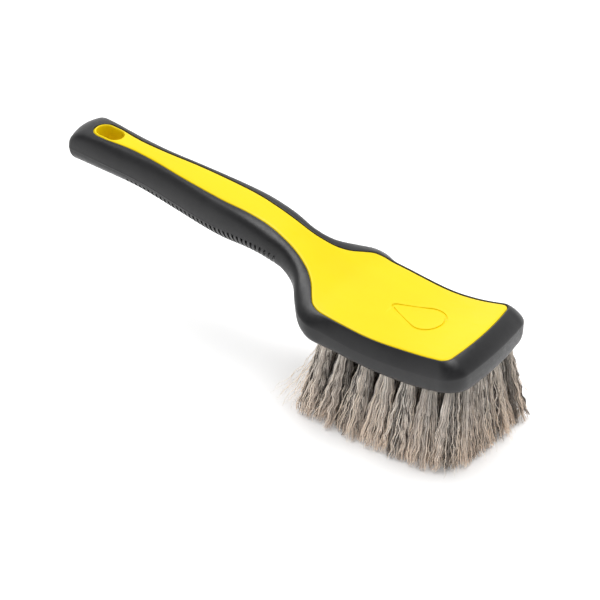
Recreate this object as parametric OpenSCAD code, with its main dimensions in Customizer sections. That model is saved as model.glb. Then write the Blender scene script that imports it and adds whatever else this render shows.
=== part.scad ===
// Short-handled wheel brush with a two-material handle and a drilled tuft block.
// X runs along the brush towards the front of the head, Z is up, and the origin is the
// middle of the trimmed bristle face that the brush stands on.

/* [Head] */
// Length of the head, from the shoulders to the front edge
head_l = 92.5; // [80:0.5:110]
// Width of the head at its front edge
head_w = 70; // [68:0.5:84]
// Height of the bumper rim at the middle of the head
rim_h = 19; // [17:0.5:24]
// How far the shoulders stand above the lowest point of the top panel
shoulder_rise = 4.2; // [2:0.1:7]
// How far the front edge stands above the lowest point of the top panel
front_rise = 8.8; // [4:0.1:11]
// How far the middle of the front edge stands ahead of its ends
front_bow = 3; // [1:0.1:5]
// Radius of the front corners, seen from above
corner_r = 11; // [9.5:0.5:13]
// Width of the black bumper beside the top panel
bumper_w = 5.5; // [4:0.1:7]

/* [Handle] */
// Length of the handle, from the shoulders to its end
handle_l = 180; // [150:1:220]
// Height of the handle's end above the lowest point of the top panel
handle_rise = 35.4; // [28:0.1:45]
// Length of the neck that joins the grip to the head
neck_l = 56; // [48:1:66]
// Width of the neck at its narrowest
neck_w = 31; // [26:0.5:36]
// Height of the neck's section at its thinnest
neck_h = 19; // [17:0.5:24]
// Width of the grip at its swell
grip_w = 33; // [28:0.5:38]
// Height of the grip at its swell
grip_h = 28; // [24:0.5:34]
// Width of the handle between the grip and the hanging hole
waist_w = 25.6; // [22:0.2:30]
// Height of the handle at its end
end_h = 21; // [19:0.5:26]
// Width of the handle at its end
end_w = 28; // [25:0.5:32]

/* [Top strip] */
// Width of the strip of the core that shows along the grip
strip_w = 15.8; // [12:0.2:20]
// Width of that strip at its narrowest, beside the hanging hole
strip_waist_w = 9.4; // [8:0.2:12]
// How far the core stands proud of the jacket at the seam
seam_step = 0.3; // [0.2:0.05:0.6]
// Width of the flat ledge of the jacket beside the seam
seam_ledge = 0.4; // [0.3:0.05:0.8]

/* [Hanging hole] */
// Length of the oval hanging hole
hole_l = 16.6; // [14:0.2:20]
// Width of the oval hanging hole
hole_w = 10.2; // [8:0.2:12]
// Distance from the handle's end to the centre of the hole
hole_setback = 22; // [19:0.5:28]
// Wall of the core around the hole
hole_wall = 1.2; // [1:0.1:2]
// How far the core's boss stops short of the underside
boss_recess = 1.8; // [1.6:0.1:2.5]

/* [Jacket] */
// Thickness of the jacket over the core
jacket_t = 2.6; // [2:0.1:3.2]
// Depth of the jacket beside the top strip
jacket_top_t = 3.2; // [2.5:0.1:4]
// Height of the jacket under the core's skirt, above the block's face
skirt_lift = 4.5; // [4:0.1:6]
// Number of grip grooves across the underside
groove_count = 35; // [20:1:36]
// Distance from one groove to the next
groove_pitch = 3; // [2.4:0.1:3.2]
// Width of one groove
groove_w = 1.4; // [0.8:0.1:1.6]
// Depth of one groove
groove_depth = 1.5; // [0.5:0.1:1.7]

/* [Bristles] */
// Bristle length from the middle of the block's face to the trimmed end
trim_l = 46; // [36:1:54]
// Number of tufts along the head
tuft_cols = 7; // [5:1:7]
// Number of tufts across the head
tuft_rows = 5; // [3:2:5]
// Distance between tufts along the head, at the block's face
tuft_pitch_x = 12.8; // [12.4:0.1:14]
// Distance between tufts across the head, at the block's face
tuft_pitch_y = 11.8; // [11.6:0.1:13]
// Backward lean of the middle column of tufts, in degrees
lean_back = 2.5; // [0:0.1:4]
// Lean from one tuft to the next, along the head, in degrees
lean_x = 1.5; // [1.2:0.1:2.2]
// Lean from one tuft to the next, across the head, in degrees
lean_y = 3.4; // [2.5:0.1:4]
// Diameter of a drilled tuft hole
tuft_hole_d = 7.6; // [6:0.1:8]
// Depth of a drilled tuft hole
tuft_hole_depth = 8.5; // [7.5:0.5:9]
// Gap between a tuft and the wall of its hole
tuft_gap = 0.15; // [0.1:0.05:0.3]
// Diameter of a tuft at its trimmed end
tuft_tip_d = 12.8; // [10:0.1:13]
// Depth of hair folded over each anchor, at the bottom of the hole
fold_t = 1.6; // [1:0.1:2.5]
// Height of one tuft anchor, along its hole
anchor_h = 3; // [2:0.1:4]
// Thickness of one tuft anchor
anchor_t = 0.6; // [0.4:0.1:1]

/* [Tuft block] */
// Wall of the block outside the outermost tuft holes
block_wall = 1.2; // [1:0.1:1.4]
// Thickness of the block above the bottoms of its holes
block_back = 2; // [1.6:0.1:2.4]
// Radius of the block's corners
block_corner_r = 6; // [5:0.5:6.5]
// Radius of the curve of the block's face along the head
block_crown_r = 187; // [170:1:300]
// How far the lowest line of that curve lies behind the origin
block_crown_setback = 6; // [0:0.5:12]
// How far the block's face sits up inside the rim
block_recess = 1.2; // [0.5:0.1:2]
// Gap between the block and the core's pocket
block_gap = 0.1; // [0.05:0.05:0.3]

/* [Hidden] */

core_colour = "#ffe600";
jacket_colour = "#38383a";
block_colour = "#1c1c1d";
anchor_colour = "silver";
tuft_colour = "#a89c90";

// Stations along the brush
// The middle tuft leans back from its root to the origin, and the tuft field lies a
// little behind the middle of the head
field_setback = 2.75;
x_field = (trim_l + block_recess) * tan(lean_back);
x_shoulder = x_field + field_setback - head_l / 2;
x_front = x_shoulder + head_l;
x_neck = x_shoulder - neck_l;
x_end = x_shoulder - handle_l;
x_hole = x_end + hole_setback;
x_waist = x_hole + hole_l / 2 + 18;
x_swell = x_neck - 14;
x_throat = x_shoulder - 0.54 * neck_l;
z_panel = trim_l + rim_h;

// Hole and boss, both ovals with straight sides
boss_l = hole_l + 2 * hole_wall;
boss_w = hole_w + 2 * hole_wall;
panel_setback = 9;
panel_corner_r = 5;
end_corner_r = 3;
end_bow = 3.2;
end_round = 7.5;
front_round = 6;

// Smooth curve through a table of [position, value] rows
function slope(t, i) =
    let (n = len(t) - 1)
    i == 0 ? (t[1][1] - t[0][1]) / (t[1][0] - t[0][0])
    : i == n ? (t[n][1] - t[n - 1][1]) / (t[n][0] - t[n - 1][0])
    : let (
        h0 = t[i][0] - t[i - 1][0],
        h1 = t[i + 1][0] - t[i][0],
        d0 = (t[i][1] - t[i - 1][1]) / h0,
        d1 = (t[i + 1][1] - t[i][1]) / h1
    ) (d0 * h1 + d1 * h0) / (h0 + h1);
function span_at(t, x, i = 0) = i >= len(t) - 2 || x <= t[i + 1][0] ? i : span_at(t, x, i + 1);
function curve(t, x) =
    let (
        i = span_at(t, x),
        h = t[i + 1][0] - t[i][0],
        u = min(1, max(0, (x - t[i][0]) / h)),
        u2 = u * u,
        u3 = u2 * u
    )
    (2 * u3 - 3 * u2 + 1) * t[i][1] + (u3 - 2 * u2 + u) * h * slope(t, i)
    + (3 * u2 - 2 * u3) * t[i + 1][1] + (u3 - u2) * h * slope(t, i + 1);

// Rise of the neck as shares of its length and of the handle's rise over the shoulders
neck_path = [[-1, 0.722], [-0.75, 0.615], [-0.446, 0.38], [-0.16, 0.124]];
z_shoulder = z_panel + shoulder_rise;
z_rise = handle_rise - shoulder_rise;
top_line = concat(
    [
        [x_end, z_shoulder + z_rise],
        [x_waist, z_shoulder + 0.925 * z_rise],
        [x_neck - 20, z_shoulder + 0.785 * z_rise]
    ],
    [for (p = neck_path) [x_shoulder + p[0] * neck_l, z_shoulder + p[1] * z_rise]],
    [
        [x_shoulder, z_shoulder],
        [x_shoulder + 0.22 * head_l, z_panel + 0.27 * shoulder_rise],
        [x_shoulder + 0.455 * head_l, z_panel],
        [x_shoulder + 0.69 * head_l, z_panel + 0.26 * front_rise],
        [x_front - panel_setback, z_panel + 0.77 * front_rise],
        [x_front, z_panel + front_rise]
    ]
);

// How far each shoulder stands out beside the front edge
shoulder_swell = 2;
// Flare of the neck into the head, as shares of the neck's length and of the growth in width
outer_flare = [[-0.357, 0.21], [-0.214, 0.63], [-0.107, 0.9]];
panel_flare = [[-0.5, 0.04], [-0.375, 0.13], [-0.257, 0.28], [-0.166, 0.49], [-0.093, 0.735], [-0.036, 0.91]];
function flare(rows, from, to) =
    [for (p = rows) [x_shoulder + p[0] * neck_l, from + p[1] * (to - from)]];

panel_w = head_w - 2 * bumper_w;
outer_half = concat(
    [
        [x_end, end_w / 2],
        [x_hole, 0.5 * (end_w + waist_w) / 2],
        [x_waist, waist_w / 2],
        [x_swell, grip_w / 2],
        [x_shoulder - 0.75 * neck_l, 0.5 * (grip_w + neck_w) / 2],
        [x_throat, neck_w / 2]
    ],
    flare(outer_flare, neck_w / 2, head_w / 2 + shoulder_swell),
    [
        [x_shoulder, head_w / 2 + shoulder_swell],
        [x_shoulder + 9, head_w / 2 + 0.3],
        [x_shoulder + 0.3 * head_l, head_w / 2 - 1],
        [x_shoulder + 0.65 * head_l, head_w / 2 - 1.4],
        [x_front, head_w / 2]
    ]
);
panel_half = concat(
    [
        [x_hole + boss_l / 2 - boss_w / 2, boss_w / 2],
        [x_hole + boss_l / 2 + 1.6, 0.5 * (boss_w + strip_waist_w) / 2 - 0.25],
        [x_hole + boss_l / 2 + 8, strip_waist_w / 2],
        [x_waist + 5, strip_waist_w / 2 + 0.2],
        [x_waist + 31, 0.45 * strip_w],
        [x_neck - 20, strip_w / 2 + 0.3],
        [x_shoulder - 0.65 * neck_l, strip_w / 2 - 0.3]
    ],
    flare(panel_flare, strip_w / 2 - 0.3, panel_w / 2 - 0.5),
    [
        [x_shoulder + 2, panel_w / 2 - 0.5],
        [x_shoulder + 9, panel_w / 2 - 0.2],
        [x_shoulder + 0.3 * head_l, panel_w / 2 - 0.2],
        [x_shoulder + 0.58 * head_l, panel_w / 2 - 1.5],
        [x_front, panel_w / 2]
    ]
);
// Drop from the top line to the widest level, and to the underside
side_drop = [
    [x_end, end_h / 2],
    [x_waist, 0.56 * end_h],
    [x_swell, 0.45 * grip_h],
    [x_throat, 0.45 * neck_h],
    [x_shoulder, 0.32 * rim_h],
    [x_shoulder + 0.22 * head_l, 0.42 * rim_h],
    [x_shoulder + 0.54 * head_l, 0.42 * rim_h],
    [x_front, 0.45 * rim_h]
];
under_drop = [
    [x_end, end_h],
    [x_hole, end_h],
    [x_waist, end_h + 0.2],
    [x_waist + 27, 0.55 * end_h + 0.45 * grip_h],
    [x_swell, grip_h],
    [x_shoulder - 0.75 * neck_l, neck_h + 3.2],
    [x_throat, neck_h],
    [x_shoulder - 0.2 * neck_l, neck_h + 1],
    [x_shoulder, rim_h + 1.5],
    [x_shoulder + 0.22 * head_l, rim_h],
    [x_shoulder + 0.54 * head_l, rim_h],
    [x_shoulder + 0.76 * head_l, rim_h + 0.5],
    [x_front, rim_h]
];
// Fullness of the section's upper and lower arcs: 2 is an ellipse, more is boxier
upper_full = [[x_end, 2.6], [x_waist, 1.9], [x_throat, 2.1], [x_shoulder, 1.4], [x_front, 1.3]];
lower_full = [[x_end, 2.4], [x_waist, 2.1], [x_throat, 2.2], [x_shoulder, 4], [x_shoulder + 20, 6], [x_front, 6]];

// Half of a plan outline, from the middle of the rear edge to the middle of the front edge
rear_steps = 3;
corner_steps = 4;
front_steps = 4;
function steps(from, to, n) = [for (i = [0 : n - 1]) from + (to - from) * i / n];
function side_stations(from, to) = concat(
    steps(from, x_neck, 16),
    steps(x_neck, x_shoulder - 0.5 * neck_l, 8),
    steps(x_shoulder - 0.5 * neck_l, x_shoulder + 2, 13),
    steps(x_shoulder + 2, to, 10)
);
function half_outline(half, grow, rear_x, rear_r, rear_bow, front_x, front_r) =
    let (
        x0 = rear_x - grow,
        r0 = rear_r + grow,
        x1 = front_x + grow,
        r1 = front_r + grow,
        rear_w = curve(half, x0 + r0) + grow,
        rear_y = rear_w - r0,
        rear_cx = x0 + rear_bow * pow(rear_y / rear_w, 2) + r0,
        front_w = curve(half, x1 - r1) + grow,
        front_y = front_w - r1,
        front_cx = x1 - front_bow * pow(front_y / front_w, 2) - r1,
        front_gap = curve(half, front_cx) + grow - front_w
    )
    concat(
        rear_y < 0.01
        ? [for (a = steps(180, 90, rear_steps + corner_steps)) [rear_cx + r0 * cos(a), rear_w * sin(a)]]
        : concat(
            [for (y = steps(0, rear_y, rear_steps)) [x0 + rear_bow * pow(y / rear_w, 2), y]],
            [for (a = steps(180, 90, corner_steps)) [rear_cx + r0 * cos(a), rear_y + r0 * sin(a)]]
        ),
        [for (x = side_stations(rear_cx, front_cx)) [x, curve(half, x) + grow]],
        [for (a = steps(90, 0, corner_steps))
            [front_cx + r1 * cos(a), front_y + (r1 + front_gap) * sin(a)]],
        [for (y = steps(front_y, 0, front_steps)) [x1 - front_bow * pow(y / front_w, 2), y]],
        [[x1, 0]]
    );
function panel_outline(grow) = half_outline(
    panel_half, grow, x_hole - boss_l / 2, boss_w / 2, 0, x_front - panel_setback, panel_corner_r
);
function outer_outline(grow) =
    half_outline(outer_half, grow, x_end, end_corner_r, end_bow, x_front, corner_r);

// Rings of a skin. Each is half of a closed loop, on the side where Y is positive.
upper_steps = 4;
lower_steps = 5;
function quarter(a, n) = [pow(sin(a), 2 / n), pow(cos(a), 2 / n)];
function panel_ring(grow, drop) =
    [for (p = panel_outline(grow)) [p[0], p[1], curve(top_line, p[0]) - drop]];
function side_z(x) = curve(top_line, x) - curve(side_drop, x);
function under_z(x) = curve(top_line, x) - curve(under_drop, x);
function spine_x(x) = min(x_front - front_round, max(x_end + end_round, x));
function side_ring(start, outline, a) = [
    for (i = [0 : len(outline) - 1])
        let (
            w = [outline[i][0], outline[i][1], side_z(outline[i][0])],
            q = quarter(a, curve(upper_full, w[0])),
            s = start[i]
        )
        [s[0] + (w[0] - s[0]) * q[0], s[1] + (w[1] - s[1]) * q[0], w[2] + (s[2] - w[2]) * q[1]]
];
function under_ring(outline, rise, a) = [
    for (w = outline)
        let (s = spine_x(w[0]), q = quarter(a, curve(lower_full, w[0])), z = side_z(w[0]))
        [s + (w[0] - s) * q[1], w[1] * q[1], z + (under_z(s) + rise - z) * q[0]]
];
// Skin from a start ring round the sides to the middle of the underside, and the whole
// skin may lie a given depth inside the brush's surface
function skin_rings(start, depth) =
    let (outline = outer_outline(-depth))
    concat(
        [start],
        [for (k = [1 : upper_steps]) side_ring(start, outline, 90 * k / upper_steps)],
        [for (k = [1 : lower_steps]) under_ring(outline, depth, 90 * k / lower_steps)]
    );

// Closed solid through half rings, mirrored across Y, with a flat lid over the first ring.
// The last ring lies on the middle plane, where both halves share one row of points.
module ring_solid(rings) {
    n = len(rings[0]);
    loop_n = 2 * n - 2;
    open_n = len(rings) - 1;
    keel_row = rings[open_n];
    first = max([for (i = [0 : n - 1]) if (keel_row[i][0] <= x_end + end_round) i]);
    last = min([for (i = [0 : n - 1]) if (keel_row[i][0] >= x_front - front_round) i]);
    loops = [for (k = [0 : open_n - 1])
        each concat(rings[k], [for (i = [n - 2 : -1 : 1]) let (p = rings[k][i]) [p[0], -p[1], p[2]]])];
    keel = [for (i = [first : last]) keel_row[i]];
    function keel_id(i) = open_n * loop_n + min(last, max(first, i < n ? i : loop_n - i)) - first;
    walls = [for (k = [0 : open_n - 2], i = [0 : loop_n - 1])
        let (a = k * loop_n, b = a + loop_n, j = (i + 1) % loop_n)
        each [[a + i, b + i, b + j], [a + i, b + j, a + j]]];
    hem = (open_n - 1) * loop_n;
    under = [for (i = [0 : loop_n - 1])
        let (j = (i + 1) % loop_n, ki = keel_id(i), kj = keel_id(j))
        each concat([[hem + i, kj, hem + j]], ki == kj ? [] : [[hem + i, ki, kj]])];
    lid = [for (i = [0 : n - 2])
        let (j = i + 1, far_i = loop_n - i, far_j = loop_n - j)
        each concat(j == n - 1 ? [] : [[i, j, far_j]], i == 0 ? [] : [[i, j == n - 1 ? j : far_j, far_i]])];
    polyhedron(points = concat(loops, keel), faces = concat(walls, under, lid), convexity = 8);
}

core_start = panel_ring(0, 0);
core_ledge = panel_ring(0, jacket_top_t);
module brush_body() ring_solid(skin_rings(panel_ring(seam_ledge, seam_step), 0));
module core_body() ring_solid(concat([core_start], skin_rings(core_ledge, jacket_t)));

// Oval prism with straight sides, upright, through the handle's end
module oval(l, w, z0, z1) {
    translate([x_hole, 0, z0]) {
        for (side = [-1, 1]) {
            translate([side * (l - w) / 2, 0, 0]) cylinder(d = w, h = z1 - z0, $fn = 48);
        }
        translate([-(l - w) / 2, -w / 2, 0]) cube([l - w, w, z1 - z0]);
    }
}
z_hole_top = curve(top_line, x_hole);
z_hole_under = under_z(x_hole);
module boss(extra) oval(boss_l, boss_w, z_hole_under + boss_recess - extra, z_hole_top - 1);
module hanging_hole() oval(hole_l, hole_w, z_hole_under - 10, z_hole_top + 10);

// Tuft block and its pocket
block_l = (tuft_cols - 1) * tuft_pitch_x + tuft_hole_d + 2 * block_wall;
block_w = (tuft_rows - 1) * tuft_pitch_y + tuft_hole_d + 2 * block_wall;
z_face = trim_l + block_recess;
block_t = tuft_hole_depth + block_back;
module rounded_prism(l, w, r, h) {
    translate([x_field, 0, 0]) linear_extrude(h) {
        square([l - 2 * r, w], center = true);
        square([l, w - 2 * r], center = true);
        for (sx = [-1, 1], sy = [-1, 1]) {
            translate([sx * (l / 2 - r), sy * (w / 2 - r)]) circle(r, $fn = 48);
        }
    }
}
// Cylinder across the head, on the centre of the face's curve, rise above the face's curve
module crown_cylinder(rise) {
    translate([-block_crown_setback, 1.5 * head_w, z_face + block_crown_r]) rotate([90, 0, 0])
        cylinder(r = block_crown_r - rise, h = 3 * head_w, $fn = 360);
}
module pocket(gap = block_gap) {
    difference() {
        rounded_prism(block_l + 2 * gap, block_w + 2 * gap, block_corner_r + gap, z_panel + front_rise);
        crown_cylinder(block_t + gap);
    }
}

// Tufts
tuft_d = tuft_hole_d - 2 * tuft_gap;
function tuft_name(c, r) = str("tuft_", c, "_", r);
function face_z(x) =
    let (d = x + block_crown_setback)
    z_face + block_crown_r - sqrt(block_crown_r * block_crown_r - d * d);
function column_x(c) = x_field + (c - (tuft_cols + 1) / 2) * tuft_pitch_x;
function row_y(r) = (r - (tuft_rows + 1) / 2) * tuft_pitch_y;
function column_lean(c) = (c - (tuft_cols + 1) / 2) * lean_x - lean_back;
function row_lean(r) = (r - (tuft_rows + 1) / 2) * lean_y;
module at_tuft(c, r) {
    x = column_x(c);
    translate([x, row_y(r), face_z(x)]) rotate([row_lean(r), -column_lean(c), 0]) children();
}
function tuft_reach(c) = face_z(column_x(c)) + 6;
module tuft_shape(c, r) {
    reach = tuft_reach(c);
    grow = (tuft_tip_d - tuft_d) / trim_l;
    difference() {
        at_tuft(c, r) {
            difference() {
                union() {
                    cylinder(d = tuft_d, h = tuft_hole_depth - tuft_gap, $fn = 32);
                    translate([0, 0, -reach]) cylinder(d1 = tuft_d + grow * reach, d2 = tuft_d, h = reach, $fn = 32);
                }
                anchor_box(anchor_t + 0.1, anchor_h + 0.1, tuft_hole_d);
            }
        }
        translate([column_x(c), row_y(r), -20]) cube([80, 80, 40], center = true);
    }
}
module anchor_box(t, h, w) {
    translate([-t / 2, -w / 2, tuft_hole_depth - tuft_gap - fold_t - (anchor_h + h) / 2]) cube([t, w, h]);
}

// Grooves across the underside of the grip, square to its length
groove_end_x = x_shoulder - 0.62 * neck_l;
groove_start_x = groove_end_x - (groove_count - 1) * groove_pitch;
// Height of the grooves' ends over the widest line, and how far it drops towards the hole
groove_top = 1.2;
groove_fade = 4;
module grip_grooves() {
    difference() {
        for (i = [0 : groove_count - 1]) {
            x = groove_end_x - i * groove_pitch;
            top = side_z(x) + groove_top - groove_fade * i / groove_count;
            tilt = atan((curve(top_line, x + 3) - curve(top_line, x - 3)) / 6);
            translate([x, 0, top]) rotate([0, -tilt, 0])
                translate([-groove_w / 2, -grip_w, -grip_h]) cube([groove_w, 2 * grip_w, grip_h]);
        }
        ring_solid(skin_rings(panel_ring(seam_ledge - groove_depth, seam_step + groove_depth), groove_depth));
    }
}

// Least wall of the core round its pocket, and least cover of the jacket over that wall
shell_wall = 0.8;
shell_cover = 0.6;
module pocket_shell() {
    intersection() {
        pocket(block_gap + shell_wall);
        ring_solid(skin_rings(panel_ring(0, jacket_top_t), shell_cover));
    }
}

// The core's skirt round the block stops short of the rim, and the jacket closes under it
module core_blank() {
    difference() {
        union() {
            core_body();
            pocket_shell();
        }
        difference() {
            translate([x_field - block_l / 2 - 2 * jacket_t, -head_w, 0]) cube([2 * head_l, 2 * head_w, z_panel]);
            crown_cylinder(skirt_lift);
        }
    }
}

// The same solid as one closed skin of flat facets
module faceted() resize([0, 0, 0]) children();

module handle_core() {
    color(core_colour) {
        difference() {
            faceted() difference() {
                union() {
                    core_blank();
                    boss(0);
                }
                pocket();
            }
            hanging_hole();
        }
    }
}

module grip_overmould() {
    color(jacket_colour) {
        faceted() difference() {
            brush_body();
            core_blank();
            boss(20);
            pocket();
            grip_grooves();
        }
    }
}

module tuft_block() {
    color(block_colour) {
        difference() {
            intersection() {
                rounded_prism(block_l, block_w, block_corner_r, z_panel + front_rise);
                crown_cylinder(0);
            }
            crown_cylinder(block_t);
            for (c = [1 : tuft_cols], r = [1 : tuft_rows]) {
                at_tuft(c, r) translate([0, 0, -5]) cylinder(d = tuft_hole_d, h = tuft_hole_depth + 5, $fn = 32);
            }
        }
    }
}

module tuft_anchors() {
    color(anchor_colour) {
        for (c = [1 : tuft_cols], r = [1 : tuft_rows]) {
            at_tuft(c, r) anchor_box(anchor_t, anchor_h, tuft_hole_d - 0.8);
        }
    }
}

module tuft(c, r) {
    color(tuft_colour) tuft_shape(c, r);
}

handle_core();
grip_overmould();
tuft_block();
tuft_anchors();
for (c = [1 : tuft_cols], r = [1 : tuft_rows]) {
    tuft(c, r);
}
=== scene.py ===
# Wheel brush: a stiff core with a soft grip jacket and bumper rim, and a drilled block
# that holds tufts of trimmed natural hair. Lengths are in millimetres until a mesh is made.
import math

import bmesh
import bpy
import numpy as np
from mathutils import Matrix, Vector


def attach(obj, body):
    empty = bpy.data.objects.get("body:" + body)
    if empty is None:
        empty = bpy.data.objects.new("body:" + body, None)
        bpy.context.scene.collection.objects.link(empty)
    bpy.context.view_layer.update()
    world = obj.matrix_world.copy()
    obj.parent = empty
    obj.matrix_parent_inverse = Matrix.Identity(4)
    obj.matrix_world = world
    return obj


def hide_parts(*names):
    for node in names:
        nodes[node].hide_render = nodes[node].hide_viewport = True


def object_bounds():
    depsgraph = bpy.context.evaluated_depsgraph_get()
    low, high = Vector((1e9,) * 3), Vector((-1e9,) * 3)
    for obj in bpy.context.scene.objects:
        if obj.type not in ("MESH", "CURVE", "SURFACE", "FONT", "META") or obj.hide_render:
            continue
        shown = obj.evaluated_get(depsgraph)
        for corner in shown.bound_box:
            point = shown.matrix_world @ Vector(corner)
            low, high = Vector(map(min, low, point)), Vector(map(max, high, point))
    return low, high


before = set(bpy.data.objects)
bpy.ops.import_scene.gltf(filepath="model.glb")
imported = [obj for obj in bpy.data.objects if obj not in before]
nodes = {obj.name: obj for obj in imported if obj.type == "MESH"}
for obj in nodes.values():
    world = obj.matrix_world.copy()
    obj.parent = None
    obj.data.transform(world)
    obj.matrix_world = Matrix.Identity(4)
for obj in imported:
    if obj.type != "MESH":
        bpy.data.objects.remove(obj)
cad_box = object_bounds()
MM = 0.001

# ---------------------------------------------------------------- sizes, as in part.scad
# head, and the yellow panel on it
HEAD_L, HEAD_W, RIM_H = 92.5, 70.0, 19.0
SHOULDER_RISE, FRONT_RISE, FRONT_BOW, SHOULDER_SWELL = 4.2, 8.8, 3.0, 2.0
CORNER_R, BUMPER_W, FRONT_ROUND = 11.0, 5.5, 6.0
PANEL_SETBACK, PANEL_CORNER_R = 9.0, 5.0
# handle, and the yellow strip on it
HANDLE_L, HANDLE_RISE = 180.0, 35.4
NECK_L, NECK_W, NECK_H = 56.0, 31.0, 19.0
GRIP_W, GRIP_H, WAIST_W = 33.0, 28.0, 25.6
END_H, END_W, END_CORNER_R, END_BOW, END_ROUND = 21.0, 28.0, 3.0, 3.2, 7.5
STRIP_W, STRIP_WAIST_W = 15.8, 9.4
# hanging hole, and the boss round it
HOLE_L, HOLE_W, HOLE_SETBACK, HOLE_WALL, BOSS_RECESS = 16.6, 10.2, 22.0, 1.2, 1.8
# jacket, and the grooves under the grip
JACKET_T, JACKET_TOP_T, SKIRT_LIFT = 2.6, 3.2, 4.5
GROOVE_COUNT, GROOVE_PITCH, GROOVE_W, GROOVE_DEPTH = 35, 3.0, 1.4, 1.5
GROOVE_TOP, GROOVE_FADE = 1.2, 4.0
# tufts, and the block that holds them
TRIM_L, TUFT_COLS, TUFT_ROWS = 46.0, 7, 5
PITCH_X, PITCH_Y, FIELD_SETBACK = 12.8, 11.8, 2.75
LEAN_BACK, LEAN_X, LEAN_Y = 2.5, 1.5, 3.4
TUFT_HOLE_D, TUFT_HOLE_DEPTH = 7.6, 8.5
BLOCK_WALL, BLOCK_BACK, BLOCK_CORNER_R = 1.2, 2.0, 6.0
CROWN_R, CROWN_SETBACK, BLOCK_RECESS, BLOCK_GAP = 187.0, 6.0, 1.2, 0.1

X_FIELD = (TRIM_L + BLOCK_RECESS) * math.tan(math.radians(LEAN_BACK))
X_SHOULDER = X_FIELD + FIELD_SETBACK - HEAD_L / 2
X_FRONT = X_SHOULDER + HEAD_L
X_NECK = X_SHOULDER - NECK_L
X_END = X_SHOULDER - HANDLE_L
X_HOLE = X_END + HOLE_SETBACK
X_WAIST = X_HOLE + HOLE_L / 2 + 18
X_SWELL = X_NECK - 14
X_THROAT = X_SHOULDER - 0.54 * NECK_L
X_GROOVES = X_SHOULDER - 0.62 * NECK_L
Z_PANEL = TRIM_L + RIM_H
Z_FACE = TRIM_L + BLOCK_RECESS
BOSS_L, BOSS_W = HOLE_L + 2 * HOLE_WALL, HOLE_W + 2 * HOLE_WALL
BLOCK_L = (TUFT_COLS - 1) * PITCH_X + TUFT_HOLE_D + 2 * BLOCK_WALL
BLOCK_W = (TUFT_ROWS - 1) * PITCH_Y + TUFT_HOLE_D + 2 * BLOCK_WALL
BLOCK_T = TUFT_HOLE_DEPTH + BLOCK_BACK

# ---------------------------------------------------------------- details of the visual model only
PANEL_CROWN = 0.014  # rise of the top's middle line, as a share of the top's half width
EDGE_W, EDGE_DROP = 1.5, 0.6  # rounded edge of the yellow top
LIP_R, HOLE_CROWN = 0.9, 0.12  # rounded lip of the hanging hole, and the top's crown there
SEAM_DEPTH, SEAM_W = 0.9, 0.45  # gap beside the yellow
LIP_W, LIP_DROP = 1.1, 0.12  # the jacket's rolled lip beside the gap
PARTING_DEPTH = 0.14  # mould line along the handle's sides
MARK_R, MARK_TIP_R, MARK_L, MARK_DEPTH = 9.6, 2.0, 18.5, 0.6  # water drop, to its arcs' centres
MARK_FLARE, MARK_FLOOR = 1.2, 0.45  # half widths of its cut, above the surface and at the floor
MARK_AT = (X_SHOULDER + 0.54 * HEAD_L, 0.0)

# ---------------------------------------------------------------- curves along the brush


def curve(table, x):
    """Smooth curve through rows of (position, value), level outside its ends."""
    t = np.asarray(table, float)
    xs, ys = t[:, 0], t[:, 1]
    h = np.diff(xs)
    d = np.diff(ys) / h
    m = np.empty(len(xs))
    m[0], m[-1] = d[0], d[-1]
    m[1:-1] = (d[:-1] * h[1:] + d[1:] * h[:-1]) / (h[:-1] + h[1:])
    x = np.clip(np.asarray(x, float), xs[0], xs[-1])
    i = np.clip(np.searchsorted(xs, x, side="right") - 1, 0, len(h) - 1)
    u = (x - xs[i]) / h[i]
    u2, u3 = u * u, u * u * u
    return (
        (2 * u3 - 3 * u2 + 1) * ys[i] + (u3 - 2 * u2 + u) * h[i] * m[i]
        + (3 * u2 - 2 * u3) * ys[i + 1] + (u3 - u2) * h[i] * m[i + 1]
    )


Z_SHOULDER = Z_PANEL + SHOULDER_RISE
Z_RISE = HANDLE_RISE - SHOULDER_RISE
NECK_PATH = [(-1, 0.722), (-0.75, 0.615), (-0.446, 0.38), (-0.16, 0.124)]
TOP_LINE = [
    (X_END, Z_SHOULDER + Z_RISE),
    (X_WAIST, Z_SHOULDER + 0.925 * Z_RISE),
    (X_NECK - 20, Z_SHOULDER + 0.785 * Z_RISE),
    *[(X_SHOULDER + p * NECK_L, Z_SHOULDER + v * Z_RISE) for p, v in NECK_PATH],
    (X_SHOULDER, Z_SHOULDER),
    (X_SHOULDER + 0.22 * HEAD_L, Z_PANEL + 0.27 * SHOULDER_RISE),
    (X_SHOULDER + 0.455 * HEAD_L, Z_PANEL),
    (X_SHOULDER + 0.69 * HEAD_L, Z_PANEL + 0.26 * FRONT_RISE),
    (X_FRONT - PANEL_SETBACK, Z_PANEL + 0.77 * FRONT_RISE),
    (X_FRONT, Z_PANEL + FRONT_RISE),
]
OUTER_FLARE = [(-0.357, 0.21), (-0.214, 0.63), (-0.107, 0.9)]
PANEL_FLARE = [
    (-0.5, 0.04), (-0.375, 0.13), (-0.257, 0.28), (-0.166, 0.49), (-0.093, 0.735), (-0.036, 0.91),
]


def flare(rows, start, end):
    return [(X_SHOULDER + p * NECK_L, start + v * (end - start)) for p, v in rows]


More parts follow.
